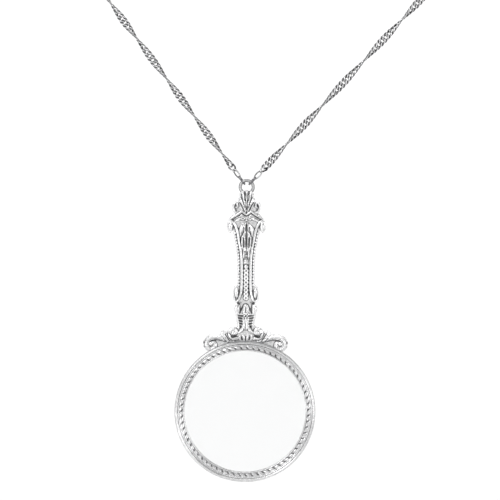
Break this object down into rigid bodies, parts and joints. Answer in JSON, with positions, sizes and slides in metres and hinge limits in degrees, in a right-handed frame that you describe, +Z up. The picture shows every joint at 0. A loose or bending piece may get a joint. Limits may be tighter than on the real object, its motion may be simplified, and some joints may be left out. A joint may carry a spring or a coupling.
{
  "type": "magnifier pendant",
  "caption": "Round magnifying lens in a beaded ring with a cast ornamental handle, worn as a pendant on a long twisted neck chain that closes at the nape.",
  "frame": {"origin": "at the nape of the neck, on the inner face of the clasp", "axes": "+Z up as worn, +X to the right as the picture shows it, the pendant hangs in front on the -Y side"},
  "size_m": [0.2364, 0.1459, 0.2354],
  "materials": {
    "cast_metal": "polished silver-tone casting with darkened recesses",
    "lens_glass": "clear polished glass",
    "ring_wire": "dark silver-tone wire",
    "chain_metal": "polished silver-tone links",
    "clasp_metal": "polished silver tone"
  },
  "bodies": {
    "chain": {"chain_left": "chain_metal", "chain_right": "chain_metal", "end_ring_left": "ring_wire", "end_ring_right": "ring_wire", "clasp": "clasp_metal"},
    "pendant": {"frame": "cast_metal", "lens": "lens_glass"}
  },
  "joints": [
    {"name": "pendant_swing", "type": "hinge", "parent": "chain", "child": "pendant", "pos_m": [-0.0112, -0.14, -0.13882], "axis": [1, 0, 0], "range_deg": [-50, 50]}
  ]
}
